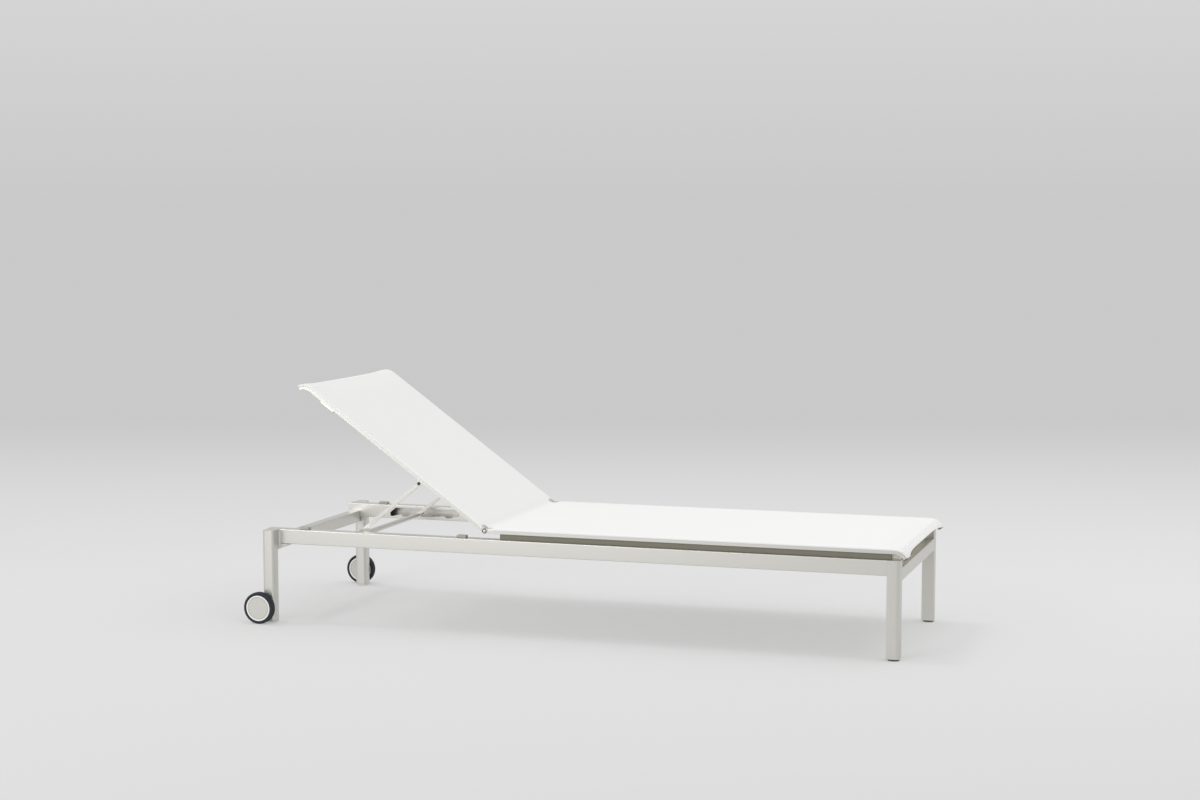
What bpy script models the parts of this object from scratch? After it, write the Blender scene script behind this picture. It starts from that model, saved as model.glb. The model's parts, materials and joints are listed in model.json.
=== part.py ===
"""Reclining sun lounger: an aluminium frame on two wheels, with a ratchet back rest under a sling.

Metres, +Z up.  +X runs from the head end to the foot end and +Y to the lounger's left side.
The origin is on the floor, under the middle of the whole object.
"""

import math

import bmesh
import bpy

# ---------------------------------------------------------------- driving dimensions
GAP = 0.0003                # clearance between pieces that touch
WELD = 0.00001              # points closer than this are one point
WALL = 0.0025               # wall of every aluminium tube

LEG_SIZE = 0.038
REAR_LEG_X = -0.950
REAR_LEG_Y = 0.340
FRONT_LEG_X = 0.980
FRONT_LEG_CORNER = 0.011    # large outer corner of a front leg
REAR_LEG_CORNER = 0.009
REAR_FILLET = 0.006         # where the rear casting runs into the rail's outer face
GLIDE_HEIGHT = 0.005
GLIDE_RADIUS = 0.0165
REAR_FOOT_CLEARANCE = 0.003
SHOE_DEPTH = 0.016          # gusset of the rear casting under the rail
SHOE_REACH = 0.036
CORE_DEPTH = 0.020          # the legs' bores stop this far below the rail

RAIL_TOP = 0.2875
RAIL_HEIGHT = 0.0445
RAIL_WIDTH = 0.038
RAIL_OUTER_Y = 0.3195
RAIL_REAR_X = -0.9705
RAIL_CORNER = 0.0020
RAIL_CAP = 0.0025

CROSSBAR_TOP = 0.263
CROSSBAR_HEIGHT = 0.037
CROSSBAR_DEPTH = 0.034

PROFILE_Y = 0.3015          # centre line of the sling profiles
PROFILE_WIDTH = 0.026
PROFILE_HEIGHT = 0.014
PROFILE_Z = 0.3125
CURL_RADIUS = 0.038         # both ends of the bed curl down on this radius
CURL_ANGLE = 60.0
FOOT_TIP_X = 1.0138
GROOVE_HEIGHT = 0.0016
GROOVE_DEPTH = 0.003
GROOVE_OFFSET = 0.0022      # above the middle of the profile
GROOVE_START = 0.030
END_CAP = 0.0022

PIVOT_X = -0.2533
RECLINE = 35.8              # back rest angle as built, above the horizontal
BACK_LENGTH = 0.7004        # from the pivot to the start of the curl
BOLT_RADIUS = 0.003
BOLT_HEAD = 0.005
EYE_CLEARANCE = 0.0012
HINGE_PLATE = 0.0045
HINGE_PLATE_LENGTH = 0.062

RISER_START_X = -0.208
RISER_END_X = 0.971
RISER_INNER = 0.0115        # riser strip, either side of the profile's centre line
RISER_OUTER = 0.0020
SPREADER_WIDTH = 0.030
SPREADER_CORNER = 0.006
SEAT_SPREADERS = {          # front face, underside and top of each cross tube under the seat
    "seat_spreader_foot": (0.970, 0.2655, 0.2965),
    "seat_spreader_mid": (0.340, 0.2530, 0.2830),
    "seat_spreader_hinge": (-0.185, 0.2530, 0.2830),
}
BACK_SPREADERS = {          # start and end of each cross tube along the back rest
    "back_spreader_upper": (0.6000, 0.6540),
    "back_spreader_lower": (0.2440, 0.2840),
}
BACK_SPREADER_BELOW = 0.0168
BACK_SPREADER_CORNER = 0.004
LOWER_SPREADER_DROP = 0.004  # its top lies this far below the top of the profiles

SLING_HALF_WIDTH = 0.2880
SLING_THICKNESS = 0.002
SLING_START = 0.014         # from the pivot

PIN_ALONG = 0.2647          # prop pin, measured along the back rest from the pivot
PIN_BELOW = 0.0347          # and below its centre line
PROP_LENGTH = 0.2816
PROP_Y = 0.250
PROP_ROD_RADIUS = 0.008
PROP_HALF = 0.0035          # half the thickness of a prop arm
PROP_EYE = 0.0055
PROP_LUG = 0.004            # thickness of the lug that holds the prop's pin
PEG_RADIUS = 0.0045
PEG_REACH = 0.009           # into the rail
ROD_Z = 0.2630              # height of the prop's cross rod as built

RECLINE_STOPS = (0.0, 20.0, 35.8, 50.0)
SWING_RATIO = 1.030         # turn of the prop for each degree of recline
SLOT_TOP = 0.2790
SLOT_FRONT = 0.036          # the slot runs on this far past the last stop
SLOT_BACK = 0.016           # and this far behind the first stop
SLOT_RAMP = 0.020
NOTCH_FLOOR = 0.2505
NOTCH_RUN = 0.008
NOTCH_CORNER = 0.004
TOOTH_TOP = 0.2570
TOOTH_WIDTH = 0.002

WHEEL_RADIUS = 0.049
WHEEL_X = -0.9725
WHEEL_Z = 0.049
WHEEL_OUTER_Y = 0.388
WHEEL_WIDTH = 0.024
AXLE_RADIUS = 0.0055
AXLE_HEAD = 0.0095
RIM_RADIUS = 0.0395
DISC_RADIUS = 0.0345
TYRE_SHOULDER = 0.005
BRACKET_RADIUS = 0.014

PAD_LENGTH = 0.030
PAD_GAP = 0.0005             # under the upper spreader when the back rest is flat
PAD_X = {"head": -0.851, "hinge": -0.331}

# ---------------------------------------------------------------- derived places
RAIL_INNER_Y = RAIL_OUTER_Y - RAIL_WIDTH
RAIL_MIDDLE_Y = RAIL_OUTER_Y - RAIL_WIDTH / 2
RAIL_BOTTOM = RAIL_TOP - RAIL_HEIGHT
PROFILE_INNER_Y = PROFILE_Y - PROFILE_WIDTH / 2
PROFILE_OUTER_Y = PROFILE_Y + PROFILE_WIDTH / 2
PROFILE_BOTTOM = PROFILE_Z - PROFILE_HEIGHT / 2
CURL = math.radians(CURL_ANGLE)
SEAT_LENGTH = FOOT_TIP_X - PIVOT_X - CURL_RADIUS * math.sin(CURL)
WHEEL_INNER_Y = WHEEL_OUTER_Y - WHEEL_WIDTH
SIDES = {"left": 1.0, "right": -1.0}

# ---------------------------------------------------------------- scene and materials
for old in list(bpy.data.objects):
    bpy.data.objects.remove(old, do_unlink=True)

lounger = bpy.data.collections.new("sun_lounger")
cutters = bpy.data.collections.new("cutters")
for group in (lounger, cutters):
    bpy.context.scene.collection.children.link(group)


def axis_empty(name, place_at, turn):
    """An empty on a hinge axis that carries the pieces turning about it, with its turn in degrees."""
    empty = bpy.data.objects.new(name, None)
    lounger.objects.link(empty)
    empty.location = (place_at[0], 0.0, place_at[1])
    empty.rotation_euler = (0.0, math.radians(turn), 0.0)
    return empty


def finish(name, colour, roughness, metallic):
    """A Principled material with one colour."""
    material = bpy.data.materials.new(name)
    material.use_nodes = True
    shader = material.node_tree.nodes["Principled BSDF"]
    shader.inputs["Base Color"].default_value = (*colour, 1.0)
    shader.inputs["Roughness"].default_value = roughness
    shader.inputs["Metallic"].default_value = metallic
    return material


POWDER_COAT = ((0.66, 0.65, 0.61), 0.55, 0.0)
TYRE_RUBBER = ((0.02, 0.024, 0.035), 0.75, 0.0)
WHEEL_PLASTIC = ((0.60, 0.59, 0.55), 0.45, 0.0)
GREY_PLASTIC = ((0.22, 0.21, 0.19), 0.6, 0.0)
DARK_PLASTIC = ((0.08, 0.08, 0.08), 0.6, 0.0)
STEEL = ((0.62, 0.61, 0.59), 0.3, 1.0)
MESH_FABRIC = ((0.86, 0.86, 0.85), 0.85, 0.0)


# ---------------------------------------------------------------- outlines
def rounded_outline(low, high, radii, steps=4):
    """Rectangle from low to high, with its corners' radii given anticlockwise from the lower left."""
    (x0, y0), (x1, y1) = low, high
    corners = ((x0, y0, 1, 1, 180), (x1, y0, -1, 1, 270), (x1, y1, -1, -1, 0), (x0, y1, 1, -1, 90))
    points = []
    for (cx, cy, inward_x, inward_y, start), radius in zip(corners, radii):
        if radius == 0:
            points.append((cx, cy))
            continue
        centre = (cx + inward_x * radius, cy + inward_y * radius)
        points += arc(centre, radius, start, start + 90.0, steps)
    return points


def arc(centre, radius, start, end, steps):
    """Points on an arc, angles in degrees."""
    points = []
    for step in range(steps + 1):
        angle = math.radians(start + (end - start) * step / steps)
        points.append((centre[0] + radius * math.cos(angle), centre[1] + radius * math.sin(angle)))
    return points


def circle(centre, radius, sides):
    """A closed circle."""
    return arc(centre, radius, 0.0, 360.0 * (sides - 1) / sides, sides - 1)


def tube_section(low, high, corner, inner_corner):
    """Outer and inner outline of a rectangular tube."""
    outer = rounded_outline(low, high, (corner,) * 4, 3)
    bore_low = (low[0] + WALL, low[1] + WALL)
    bore_high = (high[0] - WALL, high[1] - WALL)
    return [outer, rounded_outline(bore_low, bore_high, (inner_corner,) * 4, 2)]


def bed_path(start, straight, overrun=0.0, turns=8):
    """Centre line of the bed in its own plane: a straight run, then the curl down at the end.

    Each entry is (along, up, normal along, normal up).  An overrun carries on past the tip."""
    path = [(start, 0.0, 0.0, 1.0)]
    for step in range(turns + 1):
        angle = CURL * step / turns
        along = straight + CURL_RADIUS * math.sin(angle)
        up = -CURL_RADIUS * (1.0 - math.cos(angle))
        path.append((along, up, math.sin(angle), math.cos(angle)))
    if overrun:
        along, up, na, nu = path[-1]
        path.append((along + nu * overrun, up - na * overrun, na, nu))
    return path


def band(path, low, high):
    """Closed outline between two offsets from a path."""
    upper = [(a + na * high, u + nu * high) for a, u, na, nu in path]
    lower = [(a + na * low, u + nu * low) for a, u, na, nu in path]
    return upper + lower[::-1]


def on_seat(points):
    """From the bed's own plane to the seat's place, as (x, z)."""
    return [(PIVOT_X + along, PROFILE_Z + up) for along, up in points]


def on_back(points):
    """From the bed's own plane to the back rest's own frame, which starts at the hinge and runs along -X."""
    return [(-along, up) for along, up in points]


# ---------------------------------------------------------------- solids
def place(mesh, name, look, parent=None):
    """A mesh object with its own material, or a cutter if it has no look, carried by its parent."""
    piece = bpy.data.objects.new(name, mesh)
    piece.parent = parent
    if look is None:
        cutters.objects.link(piece)
        piece.hide_render = True
        piece.display_type = "WIRE"
        return piece
    lounger.objects.link(piece)
    mesh.materials.clear()
    mesh.materials.append(finish(name + "_finish", *look))
    return piece


def prism(name, outlines, axis, low, high, look, parent=None):
    """Flat outlines filled and extruded along an axis from low to high, in the parent's frame.

    The outline's two coordinates are (x, z) for axis Y, (y, z) for axis X and (x, y) for axis Z."""
    middle = (low + high) / 2
    places = {
        "X": ((middle, 0.0, 0.0), (math.pi / 2, 0.0, math.pi / 2)),
        "Y": ((0.0, middle, 0.0), (math.pi / 2, 0.0, 0.0)),
        "Z": ((0.0, 0.0, middle), (0.0, 0.0, 0.0)),
    }
    curve = bpy.data.curves.new(name, "CURVE")
    curve.dimensions = "2D"
    curve.fill_mode = "BOTH"
    curve.extrude = (high - low) / 2
    for outline in outlines:
        spline = curve.splines.new("POLY")
        spline.points.add(len(outline) - 1)
        for point, (u, v) in zip(spline.points, outline):
            point.co = (u, v, 0.0, 1.0)
        spline.use_cyclic_u = True
    flat = bpy.data.objects.new(name + "_outline", curve)
    flat.location, flat.rotation_euler = places[axis]
    lounger.objects.link(flat)
    bpy.context.view_layer.update()
    evaluated = flat.evaluated_get(bpy.context.evaluated_depsgraph_get())
    mesh = bpy.data.meshes.new_from_object(evaluated)
    mesh.transform(flat.matrix_world)
    bpy.data.objects.remove(flat, do_unlink=True)
    welded = bmesh.new()
    welded.from_mesh(mesh)
    bmesh.ops.remove_doubles(welded, verts=welded.verts, dist=WELD)
    bmesh.ops.recalc_face_normals(welded, faces=welded.faces)
    welded.to_mesh(mesh)
    welded.free()
    return place(mesh, name, look, parent)


def across(name, outlines, side, near, far, look, parent=None):
    """A prism along Y between two distances from the middle, on one side of the lounger."""
    low, high = sorted((side * near, side * far))
    return prism(name, outlines, "Y", low, high, look, parent)


def turned(name, profile, place_at, side, look, steps=24, closed=False, parent=None):
    """A round piece on an axis along Y.

    The profile's points are (radius, distance from the lounger's middle), outer face first."""
    mesh = bpy.data.meshes.new(name)
    edges = [(index, index + 1) for index in range(len(profile) - 1)]
    if closed:
        edges.append((len(profile) - 1, 0))
    mesh.from_pydata([(radius, 0.0, out) for radius, out in profile], edges, [])
    piece = place(mesh, name, look, parent)
    spin = piece.modifiers.new("turn", "SCREW")
    spin.steps = steps
    spin.render_steps = steps
    spin.use_merge_vertices = True
    spin.merge_threshold = WELD
    spin.use_smooth_shade = True
    piece.location = (place_at[0], 0.0, place_at[1])
    piece.rotation_euler = (-side * math.pi / 2, 0.0, 0.0)
    return piece


def soften(piece, width, angle=50.0):
    """Rounded edges."""
    bevel = piece.modifiers.new("edges", "BEVEL")
    bevel.width = width
    bevel.segments = 2
    bevel.limit_method = "ANGLE"
    bevel.angle_limit = math.radians(angle)


def combine(piece, other, operation="DIFFERENCE", solver="EXACT"):
    """A Boolean with another object."""
    boolean = piece.modifiers.new(other.name, "BOOLEAN")
    boolean.operation = operation
    boolean.solver = solver
    boolean.object = other


def hole(piece, centre, side, near, far):
    """A round hole for a bolt or pin, along Y through a piece and a little past its two faces."""
    past = 0.002
    rim = circle(centre, BOLT_RADIUS + GAP, 16)
    drill = across(piece.name + "_drill", [rim], side, near - past, far + past, None, piece.parent)
    combine(piece, drill, solver="MANIFOLD")


def side_span(side, near, far):
    """Two distances from the middle as coordinates along Y, the lower one first."""
    return sorted((side * near, side * far))


# ---------------------------------------------------------------- prop linkage
def pin_place(angle):
    """The prop's pin at a recline angle, as (x, z)."""
    c = math.cos(math.radians(angle))
    s = math.sin(math.radians(angle))
    return PIVOT_X - PIN_ALONG * c - PIN_BELOW * s, PROFILE_Z + PIN_ALONG * s - PIN_BELOW * c


PROP_ANGLE = math.asin((pin_place(RECLINE)[1] - ROD_Z) / PROP_LENGTH)


def rod_place(angle):
    """The prop's cross rod at a recline angle, as (x, z)."""
    pin_x, pin_z = pin_place(angle)
    swing = PROP_ANGLE + math.radians(angle - RECLINE) * SWING_RATIO
    return pin_x - PROP_LENGTH * math.cos(swing), pin_z - PROP_LENGTH * math.sin(swing)


def notch_outline():
    """The ratchet slot: a steep face behind each notch and a long slope in front of it."""
    stops = [rod_place(angle)[0] for angle in RECLINE_STOPS]
    reach = PEG_RADIUS + 0.0012
    chamfer = 0.0015
    back = stops[0] - reach - SLOT_BACK
    outline = arc((back + NOTCH_CORNER, NOTCH_FLOOR + NOTCH_CORNER), NOTCH_CORNER, 180, 270, 4)
    runs = [back + NOTCH_CORNER + 0.006] + [stop + NOTCH_RUN for stop in stops[1:]]
    for run, ahead in zip(runs, stops[1:]):
        face = ahead - reach
        outline.append((run, NOTCH_FLOOR))
        outline.append((face - chamfer - TOOTH_WIDTH, TOOTH_TOP))
        outline.append((face - chamfer, TOOTH_TOP))
        outline.append((face, NOTCH_FLOOR + chamfer))
        outline.append((face + chamfer, NOTCH_FLOOR))
    outline.append((runs[-1], NOTCH_FLOOR))
    middle = (SLOT_TOP + TOOTH_TOP) / 2
    outline += arc((stops[-1] + SLOT_FRONT, middle), SLOT_TOP - middle, -90, 90, 6)
    outline += [(back + SLOT_RAMP, SLOT_TOP), (back, NOTCH_FLOOR + 3 * NOTCH_CORNER)]
    return outline


# ---------------------------------------------------------------- base frame
def build_rails():
    notches = notch_outline()
    front = FRONT_LEG_X - LEG_SIZE / 2 - GAP
    rear = RAIL_REAR_X - GAP
    for label, side in SIDES.items():
        low, high = side_span(side, RAIL_INNER_Y, RAIL_OUTER_Y)
        section = tube_section((low, RAIL_BOTTOM), (high, RAIL_TOP), RAIL_CORNER, 0.001)
        rail = prism("side_rail_" + label, section, "X", RAIL_REAR_X, front, POWDER_COAT)
        into = RAIL_INNER_Y + 2 * WALL
        slot = across("slot_" + label, [notches], side, RAIL_INNER_Y - WALL, into, None)
        combine(rail, slot)
        prism("rail_end_cap_" + label, section[:1], "X", rear - RAIL_CAP, rear, POWDER_COAT)


def build_rear_legs():
    half = LEG_SIZE / 2
    x0 = REAR_LEG_X - half
    x1 = REAR_LEG_X + half
    shoe_top = RAIL_BOTTOM - GAP
    face = RAIL_OUTER_Y + GAP
    sweep = []
    for step in range(5):
        part = step / 5
        sweep.append((x1 + SHOE_REACH * part, shoe_top - SHOE_DEPTH * (1.0 - part) ** 2))
    lip = x1 + SHOE_REACH
    gusset = [(x0 + 0.002, shoe_top), (x0 + 0.002, shoe_top - SHOE_DEPTH), *sweep, (lip, shoe_top - 2 * GAP),
              (lip, shoe_top)]
    for label, side in SIDES.items():
        y0, y1 = side_span(side, REAR_LEG_Y - half, REAR_LEG_Y + half)
        section = rounded_outline((x0, y0), (x1, y1), (REAR_LEG_CORNER,) * 4)
        bottom = REAR_FOOT_CLEARANCE + GLIDE_HEIGHT + GAP
        leg = prism("rear_leg_" + label, [section], "Z", bottom, RAIL_TOP, POWDER_COAT)
        fillet = arc((x1 + REAR_FILLET, face + REAR_FILLET), REAR_FILLET, 270, 180, 4)
        knuckle = [(x0, face), *fillet, (x1, REAR_LEG_Y), (x0, REAR_LEG_Y)]
        knuckle = [(x, side * y) for x, y in knuckle]
        knuckle_piece = prism("knuckle_" + label, [knuckle], "Z", shoe_top - SHOE_DEPTH, RAIL_TOP, None)
        combine(leg, knuckle_piece, "UNION")
        shoe = across("shoe_" + label, [gusset], side, RAIL_INNER_Y + 0.003, face + GAP, None)
        combine(leg, shoe, "UNION")
        bore = rounded_outline((x0 + WALL, y0 + WALL), (x1 - WALL, y1 - WALL), (0.004,) * 4, 2)
        core = prism("leg_core_" + label, [bore], "Z", 0.0, RAIL_BOTTOM - CORE_DEPTH, None)
        combine(leg, core)
        inset = 0.001
        plug = rounded_outline((x0 + inset, y0 + inset), (x1 - inset, y1 - inset), (0.005,) * 4)
        prism("rear_foot_cap_" + label, [plug], "Z", REAR_FOOT_CLEARANCE, bottom - GAP, WHEEL_PLASTIC)


def build_front_legs():
    half = LEG_SIZE / 2
    x0 = FRONT_LEG_X - half
    x1 = FRONT_LEG_X + half
    small = 0.003
    for label, side in SIDES.items():
        y0, y1 = side_span(side, RAIL_INNER_Y, RAIL_OUTER_Y)
        corners = [small] * 4
        corners[2 if side > 0 else 1] = FRONT_LEG_CORNER
        corners[3 if side > 0 else 0] = 2 * GAP
        section = rounded_outline((x0, y0), (x1, y1), corners)
        leg = prism("front_leg_" + label, [section], "Z", GLIDE_HEIGHT + GAP, RAIL_TOP, POWDER_COAT)
        bore_corners = [0.001] * 4
        bore_corners[2 if side > 0 else 1] = FRONT_LEG_CORNER - WALL
        bore = rounded_outline((x0 + WALL, y0 + WALL), (x1 - WALL, y1 - WALL), bore_corners, 2)
        core = prism("front_core_" + label, [bore], "Z", 0.0, RAIL_BOTTOM - CORE_DEPTH, None)
        combine(leg, core)
        disc = circle((FRONT_LEG_X, side * RAIL_MIDDLE_Y), GLIDE_RADIUS, 24)
        glide = prism("front_glide_" + label, [disc], "Z", 0.0, GLIDE_HEIGHT, DARK_PLASTIC)
        soften(glide, 0.001)


def build_crossbars():
    reach = RAIL_INNER_Y - GAP
    half = CROSSBAR_DEPTH / 2
    bars = {"rear_crossbar": REAR_LEG_X + 0.001, "front_crossbar": FRONT_LEG_X + LEG_SIZE / 2 - half}
    for name, x in bars.items():
        low = (x - half, CROSSBAR_TOP - CROSSBAR_HEIGHT)
        high = (x + half, CROSSBAR_TOP)
        section = tube_section(low, high, RAIL_CORNER, 0.001)
        prism(name, section, "Y", -reach, reach, POWDER_COAT)


def build_pads():
    half = PAD_LENGTH / 2
    for place_name, x in PAD_X.items():
        low = (x - half, RAIL_TOP + GAP)
        high = (x + half, PROFILE_Z - BACK_SPREADER_BELOW - PAD_GAP)
        outline = rounded_outline(low, high, (0, 0, 0.002, 0.002), 3)
        for label, side in SIDES.items():
            name = "rest_pad_" + place_name + "_" + label
            across(name, [outline], side, PROFILE_Y - 0.0125, PROFILE_Y + 0.0075, GREY_PLASTIC)


# ---------------------------------------------------------------- wheels
def hub_profile():
    """Hub with a raised ring round a sunk disc on both faces, and a socket for the bolt's head."""
    outer, inner = WHEEL_OUTER_Y, WHEEL_INNER_Y
    ring = ((DISC_RADIUS, 0.0034), (0.0350, 0.0008), (0.0362, 0.0), (0.0380, 0.0006), (RIM_RADIUS, 0.003))
    boss = 0.0110
    socket = outer - 0.0062
    profile = [(radius, outer - sunk) for radius, sunk in ring]
    profile += [(radius, inner + sunk) for radius, sunk in reversed(ring)]
    profile += [(boss + 0.001, inner + 0.0034), (boss, inner), (AXLE_RADIUS + GAP, inner)]
    profile += [(AXLE_RADIUS + GAP, socket), (boss, socket), (boss, outer - 0.0034)]
    return profile


def tyre_profile():
    """Tyre with a flat tread, rounded shoulders and a bead against the hub's ring."""
    half = WHEEL_WIDTH / 2
    middle = WHEEL_INNER_Y + half
    corner_r = WHEEL_RADIUS - TYRE_SHOULDER
    corner_y = half - TYRE_SHOULDER
    half_profile = [(RIM_RADIUS + GAP, half - 0.0028), (RIM_RADIUS + 0.0005, half - 0.0006), (0.0415, half)]
    for turn in (72, 45, 20):
        angle = math.radians(turn)
        half_profile.append((corner_r + 0.8 * TYRE_SHOULDER * math.cos(angle),
                             corner_y + TYRE_SHOULDER * math.sin(angle)))
    half_profile.append((WHEEL_RADIUS, 0.004))
    profile = [(radius, middle + out) for radius, out in half_profile]
    profile += [(radius, middle - out) for radius, out in reversed(half_profile)]
    return profile


def build_wheels():
    centre = (WHEEL_X, WHEEL_Z)
    leg_face = REAR_LEG_Y + LEG_SIZE / 2 + GAP
    lug = arc(centre, BRACKET_RADIUS, 90, 270, 10)
    lug += arc((REAR_LEG_X + 0.003, WHEEL_Z), BRACKET_RADIUS, -90, 90, 10)
    head = WHEEL_OUTER_Y - 0.0035
    axle_end = WHEEL_INNER_Y - 0.0004
    axle = [(0, head), (AXLE_HEAD, head), (AXLE_HEAD, head - 0.002), (AXLE_RADIUS, head - 0.002),
            (AXLE_RADIUS, axle_end), (0, axle_end)]
    cap_face = WHEEL_OUTER_Y - 0.0008
    cap_back = WHEEL_OUTER_Y - 0.0031
    cap_edge = DISC_RADIUS - GAP
    cap = [(0, cap_face), (cap_edge - 0.0017, cap_face), (cap_edge - GAP, cap_face - 0.0006),
           (cap_edge, cap_back), (0, cap_back)]
    for label, side in SIDES.items():
        across("wheel_bracket_" + label, [lug], side, leg_face, axle_end - GAP, POWDER_COAT)
        turned("axle_bolt_" + label, axle, centre, side, STEEL, 20)
        turned("wheel_hub_" + label, hub_profile(), centre, side, WHEEL_PLASTIC, 40, closed=True)
        turned("hub_cap_" + label, cap, centre, side, WHEEL_PLASTIC, 40)
        turned("tyre_" + label, tyre_profile(), centre, side, TYRE_RUBBER, 40, closed=True)


# ---------------------------------------------------------------- seat
def sling_profile(name, outline, groove, side, parent=None):
    """A sling profile: the outline across its width, with the groove that holds the sling's edge."""
    profile = across(name, [outline], side, PROFILE_INNER_Y, PROFILE_OUTER_Y, POWDER_COAT, parent)
    soften(profile, 0.0012, 60.0)
    bottom = PROFILE_OUTER_Y - GROOVE_DEPTH
    cut = across(name + "_groove", [groove], side, bottom, PROFILE_OUTER_Y + 0.002, None, parent)
    combine(profile, cut, solver="MANIFOLD")
    return profile


def end_cap(name, path, turn, side, look, parent=None):
    """A thin cap on the tip of a sling profile."""
    along, up, na, nu = path[-1]
    lift = PROFILE_HEIGHT / 2 - 0.0004
    chamfer = 0.001
    thick = GAP + END_CAP
    corners = [(GAP, -lift), (GAP, lift), (thick, lift - chamfer), (thick, -lift + chamfer)]
    outline = [(along + nu * t + na * n, up - na * t + nu * n) for t, n in corners]
    inset = 0.0006
    inner = PROFILE_INNER_Y + inset
    outer = PROFILE_OUTER_Y - inset
    across(name, [turn(outline)], side, inner, outer, look, parent)


def groove_band(length):
    """The groove along a sling profile, which runs out through the tip."""
    path = bed_path(GROOVE_START, length, 0.002)
    return band(path, GROOVE_OFFSET, GROOVE_OFFSET + GROOVE_HEIGHT)


def sling_band(length):
    """The sling on top of its profiles."""
    skin = PROFILE_HEIGHT / 2 + GAP
    return band(bed_path(SLING_START, length), skin, skin + SLING_THICKNESS)


def build_seat():
    half = PROFILE_HEIGHT / 2
    path = bed_path(0.0, SEAT_LENGTH)
    edges = band(path, -half, half)
    eye = arc((0.0, 0.0), half, 270, 90, 10)
    outline = on_seat(edges[:len(path)] + edges[len(path):-1] + eye[:-1])
    groove = on_seat(groove_band(SEAT_LENGTH))
    riser = rounded_outline((RISER_START_X, RAIL_TOP + GAP), (RISER_END_X, PROFILE_BOTTOM - GAP), (0,) * 4)
    riser_inner = PROFILE_Y - RISER_INNER
    riser_outer = PROFILE_Y + RISER_OUTER
    for label, side in SIDES.items():
        profile = sling_profile("seat_profile_" + label, outline, groove, side)
        hole(profile, (PIVOT_X, PROFILE_Z), side, PROFILE_INNER_Y, PROFILE_OUTER_Y)
        end_cap("seat_end_cap_" + label, path, on_seat, side, DARK_PLASTIC)
        across("riser_strip_" + label, [riser], side, riser_inner, riser_outer, GREY_PLASTIC)
    reach = RAIL_INNER_Y - GAP
    for name, (x, low, high) in SEAT_SPREADERS.items():
        section = tube_section((x - SPREADER_WIDTH, low), (x, high), SPREADER_CORNER, 0.004)
        prism(name, section, "Y", -reach, reach, POWDER_COAT)
    sling = [on_seat(sling_band(SEAT_LENGTH))]
    prism("seat_sling", sling, "Y", -SLING_HALF_WIDTH, SLING_HALF_WIDTH, MESH_FABRIC)


# ---------------------------------------------------------------- back rest
def build_back():
    recline = axis_empty("recline_axis", (PIVOT_X, PROFILE_Z), RECLINE)
    half = PROFILE_HEIGHT / 2
    path = bed_path(0.0, BACK_LENGTH)
    radius = half + EYE_CLEARANCE
    lead = math.degrees(math.asin(half / radius))
    mouth = arc((0.0, 0.0), radius, -lead, lead, 6)
    outline = on_back([*band(path[1:], -half, half), *mouth])
    groove = on_back(groove_band(BACK_LENGTH))
    tail = HINGE_PLATE_LENGTH
    plate = arc((0.0, 0.0), half - 0.0002, 90, 270, 10)
    plate += [(tail - 0.004, -half + 0.001), (tail, -half + 0.003)]
    plate += [(tail, half - 0.003), (tail - 0.004, half - 0.001)]
    plate_outer = PROFILE_INNER_Y - GAP
    plate_inner = plate_outer - HINGE_PLATE
    nut = plate_inner - GAP
    head = PROFILE_OUTER_Y + GAP
    bolt = [(0, head + 0.002), (0.0035, head + 0.002), (BOLT_HEAD, head + 0.0008), (BOLT_HEAD, head)]
    bolt += [(BOLT_RADIUS, head), (BOLT_RADIUS, nut)]
    bolt += [(0.0058, nut), (0.0058, nut - 0.0028), (0, nut - 0.0028)]
    for label, side in SIDES.items():
        sling_profile("back_profile_" + label, outline, groove, side, recline)
        end_cap("back_end_cap_" + label, path, on_back, side, WHEEL_PLASTIC, recline)
        shape = [on_back(plate)]
        link = across("hinge_plate_" + label, shape, side, plate_inner, plate_outer, STEEL, recline)
        hole(link, (0.0, 0.0), side, plate_inner, plate_outer)
        turned("pivot_bolt_" + label, bolt, (PIVOT_X, PROFILE_Z), side, STEEL, 16)
    spreaders = {          # bottom, top and reach of each cross tube
        "back_spreader_upper": (-BACK_SPREADER_BELOW, -half - GAP, PROFILE_OUTER_Y - 0.004),
        "back_spreader_lower": (-half, half - LOWER_SPREADER_DROP, PROFILE_INNER_Y - GAP),
    }
    for name, (bottom, top, reach) in spreaders.items():
        start, end = BACK_SPREADERS[name]
        section = tube_section((-end, bottom), (-start, top), BACK_SPREADER_CORNER, 0.001)
        prism(name, section, "Y", -reach, reach, POWDER_COAT, recline)
    sling = [on_back(sling_band(BACK_LENGTH))]
    prism("back_sling", sling, "Y", -SLING_HALF_WIDTH, SLING_HALF_WIDTH, MESH_FABRIC, recline)
    build_prop_brackets(recline)


def build_prop_brackets(recline):
    """Lugs under the lower spreader, with the pins that the prop turns on."""
    lug_low = PROP_Y + PROP_HALF + 0.0005
    lug_high = lug_low + PROP_LUG
    foot = 0.016
    root = -PROFILE_HEIGHT / 2 - GAP
    pin = (-PIN_ALONG, -PIN_BELOW)
    lug = [(PIN_ALONG + foot, root), (PIN_ALONG - foot, root)]
    lug += arc((PIN_ALONG, -PIN_BELOW), 0.0085, 190, 350, 8)
    head = lug_high + GAP
    clip = PROP_Y - PROP_HALF - GAP
    profile = [(0, head + 0.0022), (0.0042, head + 0.0022), (BOLT_HEAD, head + 0.0012), (BOLT_HEAD, head),
               (BOLT_RADIUS, head), (BOLT_RADIUS, clip), (BOLT_HEAD, clip), (BOLT_HEAD, clip - 0.0022),
               (0, clip - 0.0022)]
    for label, side in SIDES.items():
        shape = [on_back(lug)]
        bracket = across("prop_bracket_" + label, shape, side, lug_low, lug_high, POWDER_COAT, recline)
        hole(bracket, pin, side, lug_low, lug_high)
        turned("prop_pin_" + label, profile, pin, side, STEEL, 16, parent=recline)


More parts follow.
